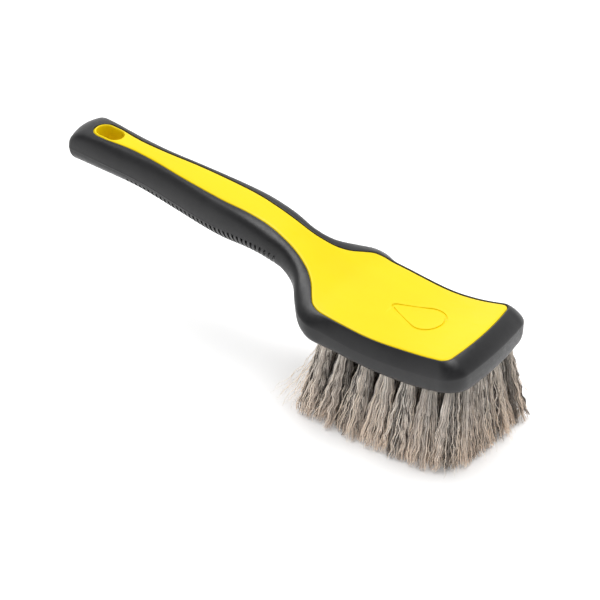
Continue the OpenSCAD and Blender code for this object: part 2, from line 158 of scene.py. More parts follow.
PANEL_W = HEAD_W - 2 * BUMPER_W
OUTER_HALF = [
    (X_END, END_W / 2),
    (X_HOLE, 0.5 * (END_W + WAIST_W) / 2),
    (X_WAIST, WAIST_W / 2),
    (X_SWELL, GRIP_W / 2),
    (X_SHOULDER - 0.75 * NECK_L, 0.5 * (GRIP_W + NECK_W) / 2),
    (X_THROAT, NECK_W / 2),
    *flare(OUTER_FLARE, NECK_W / 2, HEAD_W / 2 + SHOULDER_SWELL),
    (X_SHOULDER, HEAD_W / 2 + SHOULDER_SWELL),
    (X_SHOULDER + 9, HEAD_W / 2 + 0.3),
    (X_SHOULDER + 0.3 * HEAD_L, HEAD_W / 2 - 1),
    (X_SHOULDER + 0.65 * HEAD_L, HEAD_W / 2 - 1.4),
    (X_FRONT, HEAD_W / 2),
]
PANEL_HALF = [
    (X_HOLE + BOSS_L / 2 - BOSS_W / 2, BOSS_W / 2),
    (X_HOLE + BOSS_L / 2 + 1.6, 0.5 * (BOSS_W + STRIP_WAIST_W) / 2 - 0.25),
    (X_HOLE + BOSS_L / 2 + 8, STRIP_WAIST_W / 2),
    (X_WAIST + 5, STRIP_WAIST_W / 2 + 0.2),
    (X_WAIST + 31, 0.45 * STRIP_W),
    (X_NECK - 20, STRIP_W / 2 + 0.3),
    (X_SHOULDER - 0.65 * NECK_L, STRIP_W / 2 - 0.3),
    *flare(PANEL_FLARE, STRIP_W / 2 - 0.3, PANEL_W / 2 - 0.5),
    (X_SHOULDER + 2, PANEL_W / 2 - 0.5),
    (X_SHOULDER + 9, PANEL_W / 2 - 0.2),
    (X_SHOULDER + 0.3 * HEAD_L, PANEL_W / 2 - 0.2),
    (X_SHOULDER + 0.58 * HEAD_L, PANEL_W / 2 - 1.5),
    (X_FRONT, PANEL_W / 2),
]
SIDE_DROP = [
    (X_END, END_H / 2),
    (X_WAIST, 0.56 * END_H),
    (X_SWELL, 0.45 * GRIP_H),
    (X_THROAT, 0.45 * NECK_H),
    (X_SHOULDER, 0.32 * RIM_H),
    (X_SHOULDER + 0.22 * HEAD_L, 0.42 * RIM_H),
    (X_SHOULDER + 0.54 * HEAD_L, 0.42 * RIM_H),
    (X_FRONT, 0.45 * RIM_H),
]
UNDER_DROP = [
    (X_END, END_H),
    (X_HOLE, END_H),
    (X_WAIST, END_H + 0.2),
    (X_WAIST + 27, 0.55 * END_H + 0.45 * GRIP_H),
    (X_SWELL, GRIP_H),
    (X_SHOULDER - 0.75 * NECK_L, NECK_H + 3.2),
    (X_THROAT, NECK_H),
    (X_SHOULDER - 0.2 * NECK_L, NECK_H + 1),
    (X_SHOULDER, RIM_H + 1.5),
    (X_SHOULDER + 0.22 * HEAD_L, RIM_H),
    (X_SHOULDER + 0.54 * HEAD_L, RIM_H),
    (X_SHOULDER + 0.76 * HEAD_L, RIM_H + 0.5),
    (X_FRONT, RIM_H),
]
UPPER_FULL = [(X_END, 2.6), (X_WAIST, 1.9), (X_THROAT, 2.1), (X_SHOULDER, 1.4), (X_FRONT, 1.3)]
LOWER_FULL = [
    (X_END, 2.4), (X_WAIST, 2.1), (X_THROAT, 2.2),
    (X_SHOULDER, 4), (X_SHOULDER + 20, 6), (X_FRONT, 6),
]

REAR_STEPS, CORNER_STEPS, FRONT_STEPS = 9, 12, 12
HANDLE_STEPS, NECK_STEPS, FLARE_STEPS, HEAD_STEPS = 112, 24, 39, 70


def steps(start, end, n):
    return start + (end - start) * np.arange(n) / n


def side_stations(start, end):
    """Places along a side, closest together where the neck flares into the head."""
    mid = X_SHOULDER - 0.5 * NECK_L
    return np.concatenate([
        steps(start, X_NECK, HANDLE_STEPS), steps(X_NECK, mid, NECK_STEPS),
        steps(mid, X_SHOULDER + 2, FLARE_STEPS), steps(X_SHOULDER + 2, end, HEAD_STEPS),
    ])


def half_outline(half, grow, rear_x, rear_r, rear_bow, front_x, front_r):
    """Half of a plan outline, from the middle of the rear edge to the middle of the front edge."""
    x0, r0, x1, r1 = rear_x - grow, rear_r + grow, front_x + grow, front_r + grow
    rear_w = float(curve(half, x0 + r0)) + grow
    rear_y = rear_w - r0
    rear_cx = x0 + rear_bow * (rear_y / rear_w) ** 2 + r0
    front_w = float(curve(half, x1 - r1)) + grow
    front_y = front_w - r1
    front_cx = x1 - FRONT_BOW * (front_y / front_w) ** 2 - r1
    front_gap = float(curve(half, front_cx)) + grow - front_w
    if rear_y < 0.01:
        a = np.radians(steps(180, 90, REAR_STEPS + CORNER_STEPS))
        rear = np.column_stack([rear_cx + r0 * np.cos(a), rear_w * np.sin(a)])
    else:
        y = steps(0, rear_y, REAR_STEPS)
        a = np.radians(steps(180, 90, CORNER_STEPS))
        rear = np.vstack([
            np.column_stack([x0 + rear_bow * (y / rear_w) ** 2, y]),
            np.column_stack([rear_cx + r0 * np.cos(a), rear_y + r0 * np.sin(a)]),
        ])
    x = side_stations(rear_cx, front_cx)
    a = np.radians(steps(90, 0, CORNER_STEPS))
    y = steps(front_y, 0, FRONT_STEPS)
    return np.vstack([
        rear,
        np.column_stack([x, curve(half, x) + grow]),
        np.column_stack([front_cx + r1 * np.cos(a), front_y + (r1 + front_gap) * np.sin(a)]),
        np.column_stack([x1 - FRONT_BOW * (y / front_w) ** 2, y]),
        [[x1, 0]],
    ])


def panel_outline(grow):
    rear_x, front_x = X_HOLE - BOSS_L / 2, X_FRONT - PANEL_SETBACK
    return half_outline(PANEL_HALF, grow, rear_x, BOSS_W / 2, 0, front_x, PANEL_CORNER_R)


def outer_outline(grow):
    return half_outline(OUTER_HALF, grow, X_END, END_CORNER_R, END_BOW, X_FRONT, CORNER_R)


def top_z(x, y):
    w = curve(PANEL_HALF, x)
    return curve(TOP_LINE, x) + PANEL_CROWN * w * (1 - (y / w) ** 2)


def side_z(x):
    return curve(TOP_LINE, x) - curve(SIDE_DROP, x)


def under_z(x):
    return curve(TOP_LINE, x) - curve(UNDER_DROP, x)


def panel_ring(grow, drop):
    p = panel_outline(grow)
    return np.column_stack([p, top_z(p[:, 0], p[:, 1]) - drop])


def powers(fullness, a):
    """Sine and cosine of an angle in degrees, raised to suit how full the section is."""
    s, c = math.sin(math.radians(a)), math.cos(math.radians(a))
    return s ** (2 / fullness), max(c, 0.0) ** (2 / fullness)


def side_ring(start, outline, a, inset=0.0):
    """Ring on the upper side, from the start ring at 0 degrees to the widest line at 90."""
    x, y = outline[:, 0], outline[:, 1]
    qs, qc = powers(curve(UPPER_FULL, x), a)
    z = side_z(x)
    out = start.copy()
    out[:, 0] += (x - start[:, 0]) * qs
    out[:, 1] += (y - start[:, 1]) * qs
    out[:, 2] = z + (start[:, 2] - z) * qc
    if np.any(inset):
        away = np.gradient(outline, axis=0)
        away /= np.linalg.norm(away, axis=1)[:, None] + 1e-9
        out[:, 0] += away[:, 1] * inset
        out[:, 1] -= away[:, 0] * inset
        out[[0, -1], 1] = 0
    return out


def under_ring(outline, rise, a):
    """Ring on the lower side, from the widest line at 0 degrees to the keel at 90."""
    x, y = outline[:, 0], outline[:, 1]
    qs, qc = powers(curve(LOWER_FULL, x), a)
    if a >= 90:
        qc = np.zeros_like(x)
    z, sx = side_z(x), np.clip(x, X_END + END_ROUND, X_FRONT - FRONT_ROUND)
    return np.column_stack([sx + (x - sx) * qc, y * qc, z + (under_z(sx) + rise - z) * qs])


# ---------------------------------------------------------------- meshes


MERGE = 1e-4  # points closer than this, in millimetres, are one


def linked(name, data):
    ob = bpy.data.objects.new(name, data)
    bpy.context.scene.collection.objects.link(ob)
    return ob


def new_object(name, verts, faces):
    """Object from millimetre points, with doubles merged and faces turned outwards."""
    bm = bmesh.new()
    vs = [bm.verts.new(v) for v in np.asarray(verts, float) * MM]
    for f in faces:
        if len(set(f)) > 2:
            try:
                bm.faces.new([vs[i] for i in f])
            except ValueError:
                pass
    bmesh.ops.remove_doubles(bm, verts=bm.verts, dist=MERGE * MM)
    bmesh.ops.recalc_face_normals(bm, faces=bm.faces)
    mesh = bpy.data.meshes.new(name)
    bm.to_mesh(mesh)
    bm.free()
    return linked(name, mesh)


def stack(name, rings, lid_cols=1, lid_z=None, foot=True):
    """Closed skin through half rings that are mirrored across Y. The first ring is closed by
    strips that run across, and so is the last one, unless it lies on the middle plane."""
    n = len(rings[0])
    loop_n = 2 * n - 2
    pts = [np.vstack([r, r[-2:0:-1] * (1, -1, 1)]) for r in rings]
    verts = np.vstack(pts)
    j = np.roll(np.arange(loop_n), -1)
    i = np.arange(loop_n)
    faces = []
    for k in range(len(rings) - 1):
        a, b = k * loop_n, (k + 1) * loop_n
        faces += np.column_stack([a + i, b + i, b + j, a + j]).tolist()

    def lid(base, cols, height):
        nonlocal verts
        rows = []
        for r in range(1, n - 1):
            left, right = base + r, base + loop_n - r
            if cols > 1:
                s = 1 - 2 * np.arange(1, cols) / cols
                x, y = verts[left][0], verts[left][1] * s
                inner = np.column_stack([np.full_like(s, x), y, height(np.full_like(s, x), y)])
                ids = list(range(len(verts), len(verts) + len(s)))
                verts = np.vstack([verts, inner])
            else:
                ids = []
            rows.append([left, *ids, right])
        for u, v in zip(rows, rows[1:]):
            faces.extend([u[q], v[q], v[q + 1], u[q + 1]] for q in range(len(u) - 1))
        faces.extend([base, rows[0][q], rows[0][q + 1]] for q in range(len(rows[0]) - 1))
        faces.extend([base + n - 1, rows[-1][q + 1], rows[-1][q]] for q in range(len(rows[-1]) - 1))

    lid(0, lid_cols, lid_z)
    if foot:
        lid((len(rings) - 1) * loop_n, 1, None)
    return new_object(name, verts, faces)


def carve(target, cutter, operation="DIFFERENCE"):
    """Boolean of the target with the cutter, applied to the target's mesh."""
    mod = target.modifiers.new("carve", "BOOLEAN")
    mod.operation, mod.object, mod.solver = operation, cutter, "MANIFOLD"
    dg = bpy.context.evaluated_depsgraph_get()
    mesh = bpy.data.meshes.new_from_object(target.evaluated_get(dg))
    if not mesh.polygons:
        raise RuntimeError(f"carving {target.name} with {cutter.name} left nothing")
    target.modifiers.clear()
    old, target.data = target.data, mesh
    bpy.data.meshes.remove(old)
    bpy.data.objects.remove(cutter)


def smooth(ob, degrees):
    ob.data.polygons.foreach_set("use_smooth", [True] * len(ob.data.polygons))
    ob.data.set_sharp_from_angle(angle=math.radians(degrees))


OVAL_STEPS, BLOCK_CORNER_STEPS, BLOCK_END_STEPS, BLOCK_SIDE_STEPS = 24, 16, 6, 58


def oval_half(length, width):
    """Half of an oval with straight sides, round the hanging hole."""
    r, c = width / 2, (length - width) / 2
    a = np.radians(np.linspace(180, 90, OVAL_STEPS))
    left = np.column_stack([-c + r * np.cos(a), r * np.sin(a)])
    out = np.vstack([left, left[::-1] * (-1, 1)])
    out[:, 0] += X_HOLE
    return out


def at_height(plan, z):
    return np.column_stack([plan, np.broadcast_to(z, len(plan))])


def block_plan(length, width, r):
    """Half of a rounded rectangle round the block."""
    a = np.radians(np.linspace(180, 90, BLOCK_CORNER_STEPS))
    end = steps(0, width / 2 - r, BLOCK_END_STEPS)
    left = np.vstack([
        np.column_stack([np.full(BLOCK_END_STEPS, -length / 2), end]),
        np.column_stack([-length / 2 + r + r * np.cos(a), width / 2 - r + r * np.sin(a)]),
    ])
    x = np.linspace(-length / 2 + r, length / 2 - r, BLOCK_SIDE_STEPS + 2)[1:-1]
    side = np.column_stack([x, np.full(BLOCK_SIDE_STEPS, width / 2)])
    out = np.vstack([left, side, left[::-1] * (-1, 1)])
    out[:, 0] += X_FIELD
    return out


def crown_z(x, rise=0.0):
    """Height of the block's curved face, or of the curve a given rise above it."""
    d = x + CROWN_SETBACK
    return Z_FACE + CROWN_R - np.sqrt((CROWN_R - rise) ** 2 - d * d)


# ---------------------------------------------------------------- core and jacket

# angles of the rings round the section, above and below its widest line
UPPER_A = [4, 9, 15, 21, 28, 35, 42, 49, 56, 62, 68, 73, 78, 82, 85.5, 88]
LOWER_A = [2, 4.5, 8, 12, 17, 22, 28, 34, 40, 46, 52, 58, 64, 70, 75, 80, 85, 90]
COARSE_UPPER, COARSE_LOWER = [15, 30, 45, 60, 75], [12, 25, 40, 55, 70, 90]


def skin(start, depth, upper, lower, line=0.0):
    """Rings from the start ring down to the keel, a depth under the jacket's surface."""
    outline = outer_outline(-depth)
    rings = [side_ring(start, outline, a) for a in upper]
    rings += [side_ring(start, outline, 90, inset=-line if np.any(line) else 0.0)]
    return rings + [under_ring(outline, depth, a) for a in lower]


def core_blank(name, edge):
    """The core without its pocket and hole. The edge of its top is rounded."""
    rings = [panel_ring(-g, d) for g, d in edge]
    rings += skin(panel_ring(0, JACKET_TOP_T), JACKET_T, COARSE_UPPER, COARSE_LOWER)
    ob = stack(name, rings, lid_cols=12, lid_z=top_z, foot=False)
    plan = block_plan(2 * HEAD_L + (BLOCK_L + 4 * JACKET_T), 2 * HEAD_W, 1.0)
    plan[:, 0] += HEAD_L
    flat = at_height(plan, 0.0)
    reach = np.clip(plan[:, 0], X_FIELD - BLOCK_L, X_FRONT + 2)
    roof = at_height(plan, crown_z(reach, SKIRT_LIFT))
    carve(ob, stack("skirt_cutter", [roof, flat]))
    return ob


def pocket():
    """Cutter for the block's pocket, with its gap, open at the floor."""
    plan = block_plan(BLOCK_L + 2 * BLOCK_GAP, BLOCK_W + 2 * BLOCK_GAP, BLOCK_CORNER_R + BLOCK_GAP)
    return stack("pocket_cutter", [
        at_height(plan, crown_z(plan[:, 0], BLOCK_T + BLOCK_GAP)), at_height(plan, 0.0)
    ])


EDGE = [
    (EDGE_W * (1 - math.sin(a)), EDGE_DROP * (1 - math.cos(a)))
    for a in np.radians([0, 18, 36, 54, 72, 90])
]
core = core_blank("core_body", EDGE)
jacket_cut = core_blank("jacket_cutter", [(0, 0)])

Z_HOLE_TOP = float(curve(TOP_LINE, X_HOLE))
Z_HOLE_UNDER = float(under_z(X_HOLE))


def top_slope(x, half_span):
    return float(curve(TOP_LINE, x + half_span) - curve(TOP_LINE, x - half_span)) / (2 * half_span)


HOLE_SLOPE = top_slope(X_HOLE, 5)


def sloped(plan, z):
    """Ring level with the handle's top at the hole."""
    return np.column_stack([plan, z + HOLE_SLOPE * (plan[:, 0] - X_HOLE)])


boss_plan = oval_half(BOSS_L, BOSS_W)
carve(core, stack("boss", [
    at_height(boss_plan, Z_HOLE_TOP - 2), at_height(boss_plan, Z_HOLE_UNDER + BOSS_RECESS)
]), "UNION")
carve(core, pocket())
lip = [
    (LIP_R * (1 - math.cos(a)), LIP_R * (1 - math.sin(a)) - HOLE_CROWN)
    for a in np.radians([90, 66, 44, 22, 0])
]
narrowing = [(-0.2, 2.2), (-0.45, 4.5), (-0.6, 7.5), (-0.65, Z_HOLE_TOP - Z_HOLE_UNDER + 8)]
carve(core, stack("hole_cutter", [
    sloped(oval_half(HOLE_L + 2 * grow, HOLE_W + 2 * grow), Z_HOLE_TOP - drop)
    for grow, drop in [(LIP_R, -3), *lip, *narrowing]
]))


DROP_STEPS = 40


def drop_loop(grow):
    """Outline of a water drop whose point faces the handle."""
    big, tip = MARK_R + grow, MARK_TIP_R + grow
    turn = math.acos((big - tip) / MARK_L)
    a = np.concatenate([
        np.linspace(math.pi + turn, 3 * math.pi - turn, 2 * DROP_STEPS),
        np.linspace(-turn, turn, DROP_STEPS) + math.pi,
    ])
    on_big = np.arange(3 * DROP_STEPS) < 2 * DROP_STEPS
    r = np.where(on_big, big, tip)
    return np.column_stack([np.where(on_big, 0.0, -MARK_L) + r * np.cos(a), r * np.sin(a)])


def band_cutter(name, outer, inner, centre, depth):
    """Cutter that sinks to a depth under the head's top, between two edges. Each edge is a
    closed plan loop above the surface and another at the floor."""
    def level(loop, z):
        p = loop + centre
        return np.column_stack([p, top_z(p[:, 0], p[:, 1]) + z])
    rings = [
        level(outer[1], -depth), level(outer[0], 1.0),
        level(inner[0], 1.0), level(inner[1], -depth),
    ]
    n = len(rings[0])
    i = np.arange(n)
    j = np.roll(i, -1)
    faces = []
    for k in range(4):
        a, b = k * n, (k + 1) % 4 * n
        faces += np.column_stack([a + i, b + i, b + j, a + j]).tolist()
    return new_object(name, np.vstack(rings), faces)


carve(core, band_cutter(
    "mark_cutter", [drop_loop(MARK_FLARE), drop_loop(MARK_FLOOR)],
    [drop_loop(-MARK_FLARE), drop_loop(-MARK_FLOOR)], MARK_AT, MARK_DEPTH,
))
smooth(core, 28)

seam = [
    panel_ring(-0.6, SEAM_DEPTH), panel_ring(SEAM_W - 0.04, SEAM_DEPTH), panel_ring(SEAM_W, 0.5),
    panel_ring(SEAM_W + 0.1, 0.22), panel_ring(SEAM_W + 0.3, 0.1),
]
parting = outer_outline(0)[:, 0]
line = PARTING_DEPTH * np.clip((X_NECK - parting) / 40, 0, 1)
lip_top = panel_ring(LIP_W, LIP_DROP)
jacket = stack(
    "jacket_body", seam + [lip_top] + skin(lip_top, 0, UPPER_A, LOWER_A, line), foot=False
)

# the grooves are cut with a row of boxes that are hollowed down to the grooves' floor
BOX_FACES = ((0, 1, 3, 2), (4, 6, 7, 5), (0, 4, 5, 1), (2, 3, 7, 6), (0, 2, 6, 4), (1, 5, 7, 3))
grooves_v, grooves_f = [], []
for g in range(GROOVE_COUNT):
    x = X_GROOVES - g * GROOVE_PITCH
    top = float(side_z(x)) + GROOVE_TOP - GROOVE_FADE * g / GROOVE_COUNT
    tilt = math.atan(top_slope(x, 3))
    c, s = math.cos(tilt), math.sin(tilt)
    base = len(grooves_v)
    for dx in (-GROOVE_W / 2, GROOVE_W / 2):
        for dy in (-GRIP_W, GRIP_W):
            for dz in (-GRIP_H, 0):
                grooves_v.append((x + c * dx - s * dz, dy, top + s * dx + c * dz))
    grooves_f += [[base + q for q in f] for f in BOX_FACES]
comb = new_object("groove_cutter", grooves_v, grooves_f)
floor_top = panel_ring(LIP_W - GROOVE_DEPTH, LIP_DROP + GROOVE_DEPTH)
carve(comb, stack(
    "groove_floor", [floor_top] + skin(floor_top, GROOVE_DEPTH, UPPER_A[::2], LOWER_A[1::2]),
    foot=False,
))
carve(jacket, comb)
carve(jacket, jacket_cut)
carve(jacket, stack("boss_cutter", [
    at_height(boss_plan, Z_HOLE_TOP - 1), at_height(boss_plan, Z_HOLE_UNDER - 20)
]))
carve(jacket, pocket())
smooth(jacket, 32)

# ---------------------------------------------------------------- hair

rng = np.random.default_rng(71)
RIM_FIBRES, RIM_SPANS = 380, 20
INNER_FIBRES, INNER_SPANS = 260, 12
FIBRE_R, FIBRE_SPREAD, LOOSE_THIN = 0.17, (0.7, 1.45), 0.8
ROOT_R, TIP_R = 3.4, 7.6
TIP_ALONG, TIP_ACROSS = 10.6, 6.2  # at the rim, along it and across it
ROOT_SUNK, FLOOR_GAP, TIP_UNEVEN = 2.0, 0.25, 0.02  # the last is a share of the length
# locks: how many a tuft has, how many hairs join one, and how far they are drawn in
LOCKS, LOCK_SHARE, LOCK_PULL = 26, 0.8, (0.5, 0.95)
# waves: height, length, and the least share of the height
LOCK_WAVE, FIBRE_WAVE, TIP_SCATTER = (0.55, 12.0, 0.4), (0.24, 7.5, 0.1), 0.5
NEAR_IN, FAR_OUT = 5.5, 4.0  # the near front corner is combed in, and the far one stands out
BELLY, BELLY_MIDDLE = 0.3, 2.2  # outward bend of the rim, and what the middle of a side adds
# loose hairs: their share at the rim, and how far out the longest stand
LOOSE_REAR, LOOSE_REST, LOOSE_SIDE = (0.09, 15.0), (0.05, 8.0), 4.0


def tuft_frame(c, r):
    """Root, direction and cross directions of one tuft."""
    col, row = c - (TUFT_COLS + 1) / 2, r - (TUFT_ROWS + 1) / 2
    x, y = X_FIELD + col * PITCH_X, row * PITCH_Y
    cl, rl = math.radians(col * LEAN_X - LEAN_BACK), math.radians(row * LEAN_Y)
    away = np.array([math.sin(cl) * math.cos(rl), math.sin(rl), -math.cos(cl) * math.cos(rl)])
    e1 = np.array([math.cos(cl), 0, math.sin(cl)])
    e2 = np.cross(away, e1)
    return np.array([x, y, float(crown_z(x))]), away, e1, e2 / np.linalg.norm(e2)


def is_rim(c, r):
    return c in (1, TUFT_COLS) or r in (1, TUFT_ROWS)


def rim_place(c, r):
    """Where a tuft stands in the field, from -1 to 1 along each axis."""
    return np.array([
        (c - (TUFT_COLS + 1) / 2) / ((TUFT_COLS - 1) / 2),
        (r - (TUFT_ROWS + 1) / 2) / ((TUFT_ROWS - 1) / 2),
    ])


def tip_spread(c, r):
    """Half widths of a tuft at its tips, along X and along Y."""
    end_rim, side_rim = c in (1, TUFT_COLS), r in (1, TUFT_ROWS)
    if end_rim == side_rim:
        return np.array([TIP_R, TIP_R])
    return np.array([TIP_ALONG, TIP_ACROSS] if side_rim else [TIP_ACROSS, TIP_ALONG])


def hair_paths(c, r):
    """Centre lines of one tuft's fibres, (fibre, point, xyz), with each fibre's lock and
    whether it is loose."""
    root, away, e1, e2 = tuft_frame(c, r)
    fibres, spans = (RIM_FIBRES, RIM_SPANS) if is_rim(c, r) else (INNER_FIBRES, INNER_SPANS)
    reach = root[2] / -away[2]
    lock_a = rng.uniform(0, 2 * np.pi, LOCKS)
    lock_r = np.sqrt(rng.uniform(0, 1, LOCKS))
    lock_uv = np.column_stack([lock_r * np.cos(lock_a), lock_r * np.sin(lock_a)])
    a, rad = rng.uniform(0, 2 * np.pi, fibres), np.sqrt(rng.uniform(0, 1, fibres))
    uv = np.column_stack([rad * np.cos(a), rad * np.sin(a)])
    apart = ((uv[:, None] - lock_uv[None]) ** 2).sum(2) + rng.uniform(0, 0.12, (fibres, LOCKS))
    lock = np.argmin(apart, axis=1)
    t = np.linspace(-ROOT_SUNK / reach, 1.0, spans + 1)[None, :, None]
    f = np.clip(t, 0, 1)
    pull = rng.uniform(*LOCK_PULL, (fibres, 1, 1))
    pull = pull * (rng.uniform(0, 1, (fibres, 1, 1)) < LOCK_SHARE)
    at = uv[:, None] + (lock_uv[lock][:, None] - uv[:, None]) * pull * f ** 0.8
    at = at * (ROOT_R + (tip_spread(c, r) - ROOT_R) * f ** 1.1)

    def waves(share, groups, height, length, least):
        """Sine waves across a fibre, with a phase, height and period for each group."""
        phase = rng.uniform(0, 2 * np.pi, (groups, 1, 2))
        heights = height * rng.uniform(least, 1.5, (groups, 1, 2))
        period = length * rng.uniform(0.75, 1.35, (groups, 1, 2))
        return heights[share] * np.sin(2 * np.pi * t * reach / period[share] + phase[share])

    wave = waves(lock, LOCKS, *LOCK_WAVE) + waves(np.arange(fibres), fibres, *FIBRE_WAVE)
    at = at + wave * np.clip(f * 4, 0, 1) * (0.45 + 0.55 * f)
    at = at + rng.normal(0, 1, (fibres, 1, 2)) * TIP_SCATTER * f ** 2
    end = 1 - rng.uniform(0.0, TIP_UNEVEN, LOCKS)[lock] - np.abs(rng.normal(0, TIP_UNEVEN, fibres))
    path = root + away * (t * end[:, None, None] * reach) + e1 * at[..., :1] + e2 * at[..., 1:]

    # the rim's tufts bend outwards, and a few hairs stand right out
    f = f[..., 0]
    rim = rim_place(c, r)
    fore, near, far = max(rim[0], 0), max(-rim[1], 0), max(rim[1], 0)
    inwards = NEAR_IN * fore ** 3 * near ** 3 * f ** 1.5
    path[..., 0] += FAR_OUT * fore ** 1.5 * far * f ** 1.5 - inwards
    path[..., 1] += inwards
    share, length = LOOSE_REAR if c == 1 else LOOSE_REST
    stray = (rng.uniform(0, 1, fibres) < share * is_rim(c, r)) * rng.uniform(2, length, fibres)
    outwards = np.abs(rim) ** 3 * np.sign(rim)
    belly = BELLY + BELLY_MIDDLE * (1 - np.abs(rim[::-1]) ** 3)
    path[..., 0] += outwards[0] * (belly[0] + stray[:, None]) * f ** 1.7
    path[..., 1] += outwards[1] * (belly[1] + np.minimum(stray, LOOSE_SIDE)[:, None]) * f ** 1.7
    path[..., 2] += 0.3 * stray[:, None] * f ** 2
    path[..., 2] = np.maximum(path[..., 2], FLOOR_GAP)
    return path, lock, stray > 0


TONES = np.array([(1.0, 0.95, 0.88), (0.56, 0.50, 0.445), (0.03, 0.026, 0.023), (0.76, 0.69, 0.62)])
TONE_SHARE = [0.26, 0.26, 0.28, 0.20]
LOOSE_TONE = (1.0, 0.9, 0.78)
TIP_WARMTH = np.array([0.10, 0.0, -0.08])


def fibre_mesh(name, path, thick):
    """Three-sided tubes along the paths. Their walls come first, and then all the caps."""
    count, points = path.shape[:2]
    tangent = np.gradient(path, axis=1)
    tangent /= np.linalg.norm(tangent, axis=2, keepdims=True)
    side = np.cross(tangent, np.array([0.31, 0.87, 0.11]))  # a direction that no hair lies along
    side /= np.linalg.norm(side, axis=2, keepdims=True)
    other = np.cross(tangent, side)
    ang = 2 * np.pi * np.arange(3) / 3
    ring = np.cos(ang)[:, None] * side[:, :, None] + np.sin(ang)[:, None] * other[:, :, None]
    verts = (path[:, :, None] + ring * thick[..., None, None]).reshape(-1, 3) * MM
    fibre, span, q = np.meshgrid(
        np.arange(count), np.arange(points - 1), np.arange(3), indexing="ij"
    )
    a = (fibre * points + span) * 3
    nxt = (q + 1) % 3
    walls = np.stack([a + q, a + nxt, a + 3 + nxt, a + 3 + q], axis=-1).reshape(-1, 4)
    first = np.arange(count) * points * 3
    last = first + (points - 1) * 3
    root_caps = np.column_stack([first + 2, first + 1, first])
    tip_caps = np.column_stack([last, last + 1, last + 2])
    mesh = bpy.data.meshes.new(name)
    mesh.from_pydata(verts.tolist(), [], walls.tolist() + root_caps.tolist() + tip_caps.tolist())
    return mesh


def map_fibres(mesh, count, spans):
    """Map for the bake. Each fibre has its own cell of it, with its length along V."""
    cells = math.ceil(math.sqrt(count))
    fibre, span, q = np.meshgrid(np.arange(count), np.arange(spans), np.arange(3), indexing="ij")
    col, row = fibre % cells, fibre // cells
    u0, u1 = [(col + 0.1 + 0.8 * k / 3) / cells for k in (q, q + 1)]
    v0, v1 = [(row + 0.06 + 0.84 * k / spans) / cells for k in (span, span + 1)]
    walls = np.stack([u0, v0, u1, v0, u1, v1, u0, v1], axis=-1).reshape(-1, 2)

    def caps(low, high):
        col, row = np.arange(count) % cells, np.arange(count) // cells
        u = [(col + k) / cells for k in (0.1, 0.9, 0.5)]
        v = [(row + k) / cells for k in (low, low, high)]
        return np.stack([u[0], v[0], u[1], v[1], u[2], v[2]], axis=-1).reshape(-1, 2)

    layer = mesh.uv_layers.new(name="OFBake")
    every = np.vstack([walls, caps(0.0, 0.05), caps(0.92, 0.98)])
    layer.data.foreach_set("uv", every.astype(np.float32).ravel())


def tint_fibres(mesh, lock, loose, points):
    """A tone for each lock, mixed with each fibre's own. The roots are darker, a painted shade
    where the hairs go into the block, and the tips are lighter and warmer.
    """
    count = len(lock)
    lock_tone = TONES[rng.choice(len(TONES), LOCKS, p=TONE_SHARE)]
    own_tone = TONES[rng.choice(len(TONES), count, p=TONE_SHARE)]
    mix = rng.uniform(0.1, 0.75, (count, 1))
    tone = (lock_tone[lock] * (1 - mix) + own_tone * mix) * rng.uniform(0.8, 1.2, (count, 1))
    tone[loose] = LOOSE_TONE
    t = np.linspace(0, 1, points)
    # painted shade: the first stretch from the root is darker, where the hairs go into the block;
    # the lighter, warmer tips are the hair's own tone
    along = np.interp(t, [0, 0.12, 0.8, 1], [0.75, 0.95, 1.0, 1.12])[:, None]
    along = along * (1 + TIP_WARMTH * t[:, None] ** 2)
    colour = np.ones((count, points, 3, 4), np.float32)
    colour[..., :3] = (tone[:, None] * along[None])[:, :, None]
    attr = mesh.color_attributes.new("tone", "FLOAT_COLOR", "POINT")
    attr.data.foreach_set("color", colour.ravel())


def hair_object(name, path, lock, loose):
    count, points = path.shape[:2]
    taper = np.interp(np.linspace(0, 1, points), [0, 0.75, 1], [1.0, 1.0, 0.45])
    thin = np.where(loose, LOOSE_THIN, 1.0)[:, None]
    mesh = fibre_mesh(name, path, FIBRE_R * rng.uniform(*FIBRE_SPREAD, (count, 1)) * taper * thin)
    map_fibres(mesh, count, points - 1)
    tint_fibres(mesh, lock, loose, points)
    mesh.polygons.foreach_set("use_smooth", [True] * len(mesh.polygons))
    return linked(name, mesh)


tufts = []
for c in range(1, TUFT_COLS + 1):
    for r in range(1, TUFT_ROWS + 1):
        tuft = hair_object(f"hair_{c}_{r}", *hair_paths(c, r))
        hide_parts(f"tuft_{c}_{r}")
        tufts.append(tuft)

# ---------------------------------------------------------------- materials


def link_or_set(tree, socket, value):
    if isinstance(value, bpy.types.NodeSocket):
        tree.links.new(value, socket)
    else:
        socket.default_value = value


def fill_ramp(made, stops):
    """Give a colour ramp its stops, where a bare number is a grey."""
    elements = made.color_ramp.elements
    elements[0].position, elements[-1].position = stops[0][0], stops[-1][0]
    for pos, _ in stops[1:-1]:
        elements.new(pos)
    for element, (_, value) in zip(elements, stops):
        element.color = value if isinstance(value, tuple) else (value, value, value, 1)
    return made.outputs["Color"]


